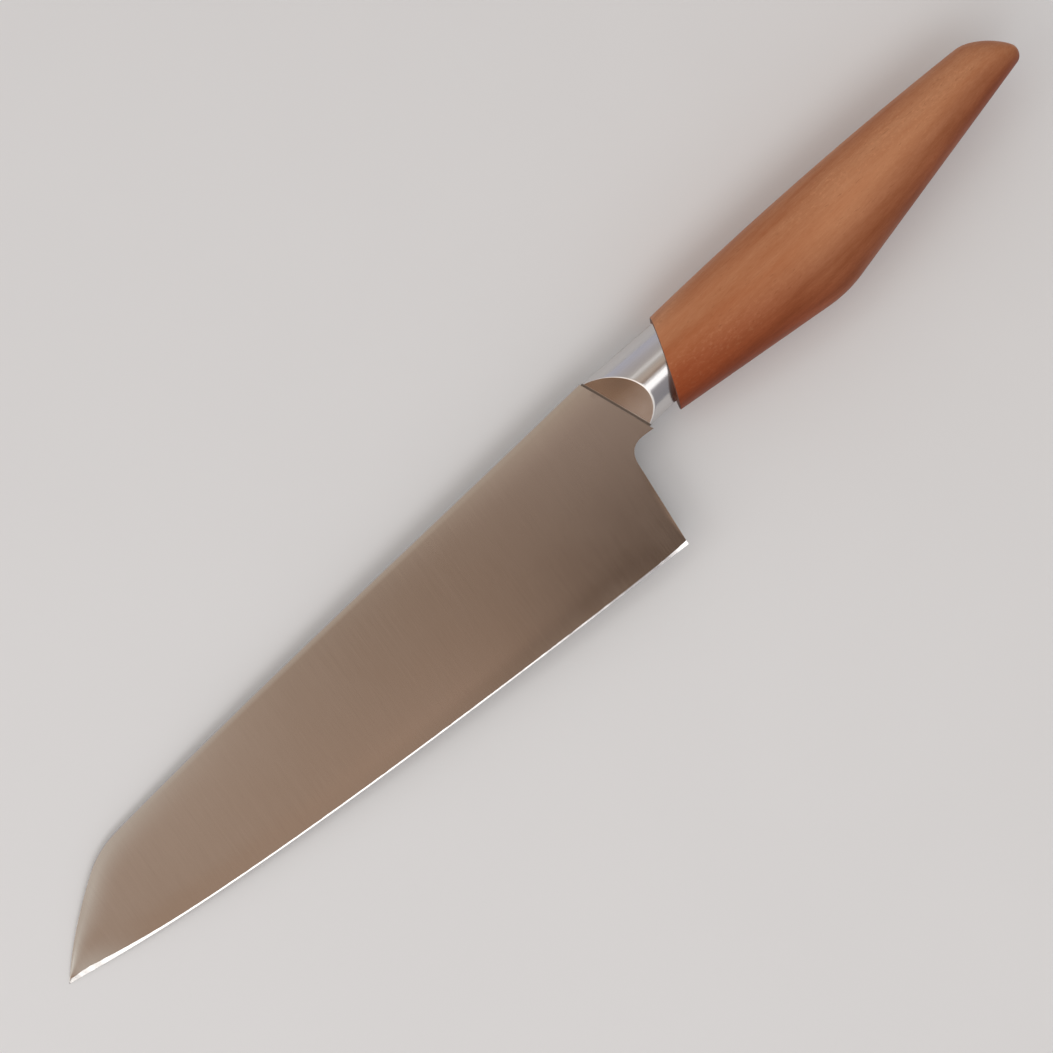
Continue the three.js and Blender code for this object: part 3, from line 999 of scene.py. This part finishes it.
def polished_steel(colours, seam_slant, seam_shade_depth):
    """The bolster's steel: polished lengthwise on the barrel, satin on the facets with painted light and
    shade, and painted shade on the lip's step at the seam.
    """
    material, tree, surface = new_material("polished_steel")
    place = object_place(tree, QUARTER_TURN)
    fine = brushed(tree, place, fineness=5000, stretch=40)
    broad = brushed(tree, place, fineness=900, stretch=40)
    marks = handled(tree, place, scale=160)
    lines = fine * 0.5 + broad * 0.5
    facet = marked(tree, "facet").within(0.7, 0.25)
    low = marked(tree, "low")
    seam_start = datum().x * math.cos(seam_slant) + datum().y * math.sin(seam_slant)
    behind_seam = separate(tree, object_place(tree, -seam_slant))[0] - seam_start
    # Painted shade on the lip's step, over its rounding behind the seam line
    seam = 1 - behind_seam.within(seam_shade_depth, seam_shade_depth / 3)
    barrel = toned(tree, lines.within(0.3, 0.4), colours.polished, low=0.9)
    # Painted light and shade on the facets: lighter towards their lower end, with a painted shade across
    # their upper half, behind the seam
    satin = blended(tree, low.within(0.4, 0.4) * 0.95, colours.facet, colours.polished)
    shade = low.near(0.3, 0.22) * behind_seam.within(0.5 * MILLIMETRE, 4 * MILLIMETRE)
    satin = blended(tree, shade * 0.8, satin, shaded(colours.facet, 0.75))
    satin = blended(tree, marks * 0.3, satin, shaded(colours.facet, 0.8))
    steel = blended(tree, facet, barrel, satin)
    plug(surface["Base Color"], blended(tree, seam, steel, colours.seam))
    barrel_roughness = 0.14 + lines * 0.1 + marks * 0.03
    facet_roughness = 0.22 + fine * 0.06
    seam_roughness = 0.6
    polish = mix(barrel_roughness, facet_roughness, facet)
    plug(surface["Roughness"], mix(polish, seam_roughness, seam))
    plug(surface["Normal"], bumped(tree, lines, depth=0.02 * MILLIMETRE, strength=0.2))
    surface["Metallic"].default_value = 1
    return material


def cherry_wood(colours):
    """The handle's oiled cherry: fibres, streaks and flecks along it, with painted shade along the belly
    and low at the front, a painted sheen along the flanks, and end grain darkened further by painted
    shade.
    """
    material, tree, surface = new_material("cherry_wood")
    place = object_place(tree, QUARTER_TURN)
    bands = brushed(tree, place, fineness=110, stretch=6)
    streaks = brushed(tree, place, fineness=600, stretch=14)
    fibres = brushed(tree, place, fineness=3600, stretch=7)
    pores = brushed(tree, place, fineness=2400, stretch=5)
    flecks = brushed(tree, place, fineness=1700, stretch=1.8)
    marks = handled(tree, place, scale=60)
    tone = bands.within(0.36, 0.28) * 0.45 + streaks.within(0.34, 0.32) * 0.3
    tone += fibres.within(0.3, 0.4) * 0.25
    fleck = flecks.within(0.52, 0.16) * bands.within(0.42, 0.2)
    pore = pores.within(0.6, 0.12) * streaks.within(0.4, 0.2)

    # Places along the handle, and round it from its back, 0, to its belly, 1
    front_place, front_run = 48.6 * MILLIMETRE, 35 * MILLIMETRE
    middle_place, middle_reach = 98 * MILLIMETRE, 45 * MILLIMETRE
    along = separate(tree, object_place(tree))[0]
    belly = marked(tree, "belly")
    front = (1 - (along - front_place) / front_run).at_least(0)
    middle = along.near(middle_place, middle_reach)
    shoulder = belly.near(0.24, 0.18)
    flank = belly.near(0.46, 0.34)

    # The wood's layers, each laid over the last with its own mask
    # A lighter wood, for the flecks and for the painted sheen
    pale_fleck_and_sheen = shaded(colours.wood_light, 1.35)
    belly_shade = toned(tree, tone, colours.wood_deep, low=0.7, high=1.6)
    wood = blended(tree, tone, colours.wood_mid, colours.wood_light)
    for mask, shade in (
        # Painted sheen along the flanks, strongest at the middle, and along the upper side at the front
        (flank * (0.05 + middle * 0.38) + shoulder * front * 0.35, pale_fleck_and_sheen),
        # Painted shade, low on the handle's front
        (front * belly.within(0.35, 0.3) * 0.6, colours.wood_rich),
        (fleck * 0.3, pale_fleck_and_sheen),
        (pore * 0.35, colours.wood_dark),
        # Painted shade along the belly, lighter at the middle
        (belly.within(0.48, 0.44) * (0.95 - middle * 0.25), belly_shade),
        # End grain, darker than the side grain, and darkened further as painted shade
        (marked(tree, "end_grain"), shaded(colours.wood_dark, 0.4)),
    ):
        wood = blended(tree, mask, wood, shade)
    plug(surface["Base Color"], wood)
    plug(surface["Roughness"], 0.42 + marks * 0.08 + pore * 0.15)
    relief = fibres * 0.5 + flecks * 0.5 - pore * 0.5
    plug(surface["Normal"], bumped(tree, relief, depth=0.05 * MILLIMETRE, strength=0.3))
    surface["Specular IOR Level"].default_value = 0.15
    return material


def amber_resin(colours):
    """The adhesive around the tang: cloudy amber, a little rough where it was scraped off."""
    material, tree, surface = new_material("amber_resin")
    clouds = handled(tree, object_place(tree), scale=220)
    plug(surface["Base Color"], toned(tree, clouds, colours.resin, low=0.75))
    plug(surface["Roughness"], 0.3 + clouds * 0.2)
    return material


def pale_floor(colours):
    """The floor's matt finish, with a faint cloudy grain."""
    material, tree, surface = new_material("pale_floor")
    grain = handled(tree, object_place(tree), scale=14)
    plug(surface["Base Color"], toned(tree, grain, colours.floor, low=0.985))
    surface["Roughness"].default_value = 0.85
    return material


# The stage

# The knife can't lie on a face whose normal rises less than this
LEAST_RISE = 0.5

# Soft lamps: lean from overhead and turn from the edge's side in degrees, size, distance and brightness
LAMPS = {
    "edge_softbox": {"lean": 26, "turn": 0, "width": 0.9, "depth": 0.36, "distance": 1, "radiance": 1.4},
    "tip_softbox": {"lean": 50, "turn": -90, "width": 1.1, "depth": 0.62, "distance": 1, "radiance": 1.15},
}

# The room's shades from the horizon on the edge's side, 0, past overhead, 0.5, to the spine's side, 1
ROOM_SHADES = {
    0.0: (0.33, 0.32, 0.34),
    0.15: (0.35, 0.33, 0.35),
    0.325: (0.36, 0.32, 0.31),
    # A light strip
    0.355: (0.76, 0.75, 0.74),
    0.395: (0.76, 0.75, 0.74),
    # The warm ceiling
    0.435: (0.457, 0.31, 0.222),
    0.46: (0.50, 0.335, 0.237),
    0.475: (0.457, 0.308, 0.219),
    0.495: (0.517, 0.38, 0.299),
    0.52: (0.604, 0.49, 0.399),
    0.57: (0.588, 0.48, 0.39),
    0.66: (0.56, 0.51, 0.47),
    # A brighter strip
    0.69: (0.95, 0.93, 0.90),
    0.735: (0.95, 0.93, 0.90),
    0.765: (0.54, 0.49, 0.46),
    0.925: (0.54, 0.51, 0.52),
    1.0: (0.58, 0.58, 0.66),
}
BUTT_WALL = (0.62, 0.62, 0.62)
BRIGHT_CORNER = (1.15, 1.13, 1.1)

# Soft oval patches of that room, for what mirrors them: centre, half size, strength and shade
ROOM_PATCHES = (
    # A glow for the angled tip
    ((-0.26, 0.16), (0.126, 0.126), 1, (1.055, 1.0, 0.924)),
    # A dark place for the heel
    ((0.022, -0.08), (0.075, 0.048), 1, (0.03, 0.008, 0.0)),
    # A brown one for the bolster's facet
    ((-0.97, -0.27), (0.3, 0.22), 1, (0.33, 0.16, 0.06)),
    # A dim place for the middle of the blade, and a warm one below it
    ((-0.055, -0.03), (0.038, 0.034), 0.85, (0.326, 0.22, 0.154)),
    ((-0.062, -0.066), (0.045, 0.02), 0.65, (0.675, 0.46, 0.344)),
    # Lighter places for the neck, and for the spine towards the tip
    ((0.04, -0.024), (0.035, 0.026), 0.4, (0.62, 0.5, 0.45)),
    ((-0.115, -0.012), (0.03, 0.02), 0.25, (0.75, 0.6, 0.48)),
)


def resting_plane(balance):
    """Centre and upward normal of the plane that the knife lies on: the hull's face below its balance."""
    shape = bmesh.new()
    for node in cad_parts.values():
        for vertex in node.data.vertices:
            shape.verts.new(vertex.co)
    hull = bmesh.ops.convex_hull(shape, input=shape.verts)
    best = None
    for face in hull["geom"]:
        if not isinstance(face, bmesh.types.BMFace):
            continue
        face.normal_update()
        normal = face.normal
        if abs(normal.z) <= LEAST_RISE:
            continue
        rise = (face.verts[0].co - balance).dot(normal) / normal.z
        foot = balance + Vector((0, 0, rise))
        sides = zip(face.verts, [*face.verts[1:], face.verts[0]])
        turns = [(b.co - a.co).cross(foot - a.co).dot(normal) for a, b in sides]
        if rise < 0 and (min(turns) >= 0 or max(turns) <= 0):
            best = (foot, normal.copy() if normal.z > 0 else -normal)
    shape.free()
    if best is None:
        raise RuntimeError("the knife has no face to lie on below its balance")
    return best


def floor_mesh(stage, material):
    """The floor, tilted to the plane that the knife lies on."""
    foot, normal = resting_plane(placed(point(-stage.balance_reach, -stage.balance_drop)))
    turn = normal.to_track_quat("Z", "Y").to_matrix()
    half = stage.floor_size / 2
    corners = ((-half, -half, 0), (half, -half, 0), (half, half, 0), (-half, half, 0))
    mesh = bpy.data.meshes.new("floor")
    mesh.from_pydata([foot + turn @ Vector(corner) for corner in corners], [], [(0, 1, 2, 3)])
    mesh.materials.append(material)
    return mesh


def overhead_camera(stage, target):
    """A camera straight above a target, turned about its line of sight."""
    lens = bpy.data.cameras.new("camera")
    lens.lens = lens.sensor_width * stage.camera_height / stage.view_width
    camera = new_object("camera", lens)
    camera.location = target + Vector((0, 0, stage.camera_height))
    camera.rotation_euler = (0, 0, stage.camera_turn)
    return camera


def studio_world():
    """A soft room, warm overhead, with the lighter and darker places that the steel mirrors."""
    world = bpy.data.worlds.new("soft_room")
    world.use_nodes = True
    tree = world.node_tree
    tree.nodes.clear()
    x, y, _ = separate(tree, tree.nodes.new("ShaderNodeTexCoord").outputs["Generated"])
    walls = add(tree, "ShaderNodeValToRGB", {"Fac": y.within(-1, 2)})
    ramp = walls.color_ramp.elements
    while len(ramp) < len(ROOM_SHADES):
        ramp.new(0.5)
    for stop, (position, shade) in zip(ramp, ROOM_SHADES.items()):
        stop.position = position
        stop.color = (*shade, 1)
    room = blended(tree, x.within(0.3, 0.35), walls.outputs[0], BUTT_WALL)
    corner = (-x).within(0.2, 0.4) * (-y).within(0.15, 0.35)
    room = blended(tree, corner, room, BRIGHT_CORNER)
    for (centre_x, centre_y), (half_x, half_y), strength, shade in ROOM_PATCHES:
        aside, along = (x - centre_x) / half_x, (y - centre_y) / half_y
        mask = (-(aside * aside + along * along)).exponential() * strength
        room = blended(tree, mask, room, shade)
    back = add(tree, "ShaderNodeBackground", {"Color": room, "Strength": 1})
    plug(tree.nodes.new("ShaderNodeOutputWorld").inputs["Surface"], back.outputs[0])
    return world


def softbox(name, target, lean, turn, width, depth, distance, radiance):
    """A soft lamp that faces a target and that the camera doesn't see."""
    lamp = bpy.data.lights.new(name, "AREA")
    lamp.shape = "RECTANGLE"
    lamp.size, lamp.size_y = width, depth
    lamp.energy = radiance * math.pi * width * depth
    holder = new_object(name, lamp)
    swing = Matrix.Rotation(math.radians(turn), 4, "Z") @ Matrix.Rotation(math.radians(lean), 4, "X")
    holder.matrix_world = Matrix.Translation(target) @ swing @ Matrix.Translation((0, 0, distance))
    holder.visible_camera = False


# Operators

class KNIFE_OT_blade(Operator):
    """Builds the blade with its tang"""

    bl_idname = "knife.blade"
    bl_label = "Blade"

    def execute(self, context):
        size = context.scene.knife_blade
        piece = new_object("blade_steel", blade_shell(size))
        combined(piece, "UNION", tang_block(0, lambda spot: grind_half(size, spot) - TANG_INSET))
        tip, heel = blade_ends(size)
        chord = heel - tip
        material = satin_steel(context.scene.knife_colours, -math.atan2(chord.y, chord.x))
        finish_piece(piece, "blade", material, BLADE_CREASE)
        return {"FINISHED"}


class KNIFE_OT_bolster(Operator):
    """Builds the bolster, cut for the tang"""

    bl_idname = "knife.bolster"
    bl_label = "Bolster"

    def execute(self, context):
        size, blade = context.scene.knife_bolster, context.scene.knife_blade
        material = polished_steel(context.scene.knife_colours, blade.seam_slant, size.lip_round)
        piece = grown("bolster_steel", bolster_rings, {
            **named_sizes(size),
            "Bottom": bolster_bottom(),
            "Thickness": BOLSTER_THICKNESS,
            "Seam Slant": blade.seam_slant,
            "Joint Slant": context.scene.knife_handle.slant,
            "Datum": datum(),
            "Material": material,
        })
        gap = size.seam_gap
        combined(piece, "DIFFERENCE", tang_block(gap, lambda spot: grind_half(blade, spot) + gap))
        finish_piece(piece, "bolster", material, CREASE)
        return {"FINISHED"}


class KNIFE_OT_handle(Operator):
    """Builds the handle, with a mortise for the tang"""

    bl_idname = "knife.handle"
    bl_label = "Handle"

    def execute(self, context):
        size, blade = context.scene.knife_handle, context.scene.knife_blade
        back, underside, stations = handle_rails(size)
        rails = [rail_object("back_rail", back), rail_object("underside_rail", underside)]
        front, belly, butt = (placed(point(x, 0)).x for x in stations)
        material = cherry_wood(context.scene.knife_colours)
        piece = grown("handle_wood", handle_rings, {
            "Back": rails[0],
            "Underside": rails[1],
            "Front": front,
            "Belly": belly,
            "Butt": butt,
            "Front Half": BOLSTER_THICKNESS / 2 + size.overhang_side,
            "Belly Half": size.belly_thickness / 2,
            "Butt Half": size.butt_thickness / 2,
            "Butt Start": run_of(trace(back[:1])) / run_of(trace(back)),
            "Butt Fullness": size.butt_fullness,
            "Section Power": size.section_power,
            "Rim Round": size.rim_round,
            "Sides": size.sides,
            "Rings": size.rings,
            "Material": material,
        })
        for rail in rails:
            bpy.data.objects.remove(rail)
        room = blade.bond_wall + 2 * blade.fit_gap
        combined(piece, "DIFFERENCE", tang_block(room, lambda spot: blade.stock / 2 + room))
        finish_piece(piece, "handle", material, CREASE)
        return {"FINISHED"}


class KNIFE_OT_bond(Operator):
    """Dresses the adhesive around the tang"""

    bl_idname = "knife.bond"
    bl_label = "Tang Bond"

    def execute(self, context):
        dress(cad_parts["tang_bond"], amber_resin(context.scene.knife_colours))
        return {"FINISHED"}


class KNIFE_OT_stage(Operator):
    """Lays the floor under the knife and sets up the camera and the lamps"""

    bl_idname = "knife.stage"
    bl_label = "Stage"

    def execute(self, context):
        scene = context.scene
        stage = scene.knife_stage
        mesh = floor_mesh(stage, pale_floor(scene.knife_colours))
        new_object("floor", mesh)
        target = placed(point(-stage.view_reach, -stage.view_drop))
        scene.camera = overhead_camera(stage, target)
        scene.world = studio_world()
        for name, lamp in LAMPS.items():
            softbox(name, target, **lamp)
        scene.view_settings.view_transform = "Standard"
        return {"FINISHED"}


class KNIFE_PT_maker(Panel):
    """Lists the knife's pieces and their sizes"""

    bl_idname = "KNIFE_PT_maker"
    bl_label = "Bunka Knife"
    bl_space_type = "VIEW_3D"
    bl_region_type = "UI"
    bl_category = "Knife"

    def draw(self, context):
        for operator in OPERATORS:
            self.layout.operator(operator.bl_idname)
        for name, group in PROPERTY_GROUPS.items():
            box = self.layout.box()
            box.label(text=group.__doc__)
            for field in group.__annotations__:
                box.prop(getattr(context.scene, name), field)


OPERATORS = (KNIFE_OT_blade, KNIFE_OT_bolster, KNIFE_OT_handle, KNIFE_OT_bond, KNIFE_OT_stage)


def register():
    for group in PROPERTY_GROUPS.values():
        bpy.utils.register_class(group)
    for name, group in PROPERTY_GROUPS.items():
        setattr(bpy.types.Scene, name, PointerProperty(type=group))
    for operator in OPERATORS:
        bpy.utils.register_class(operator)
    bpy.utils.register_class(KNIFE_PT_maker)


def unregister():
    bpy.utils.unregister_class(KNIFE_PT_maker)
    for operator in reversed(OPERATORS):
        bpy.utils.unregister_class(operator)
    for name, group in reversed(PROPERTY_GROUPS.items()):
        delattr(bpy.types.Scene, name)
        bpy.utils.unregister_class(group)


def main():
    register()
    bpy.ops.knife.stage()
    bpy.ops.knife.blade()
    bpy.ops.knife.bolster()
    bpy.ops.knife.handle()
    bpy.ops.knife.bond()


if __name__ == "__main__":
    main()
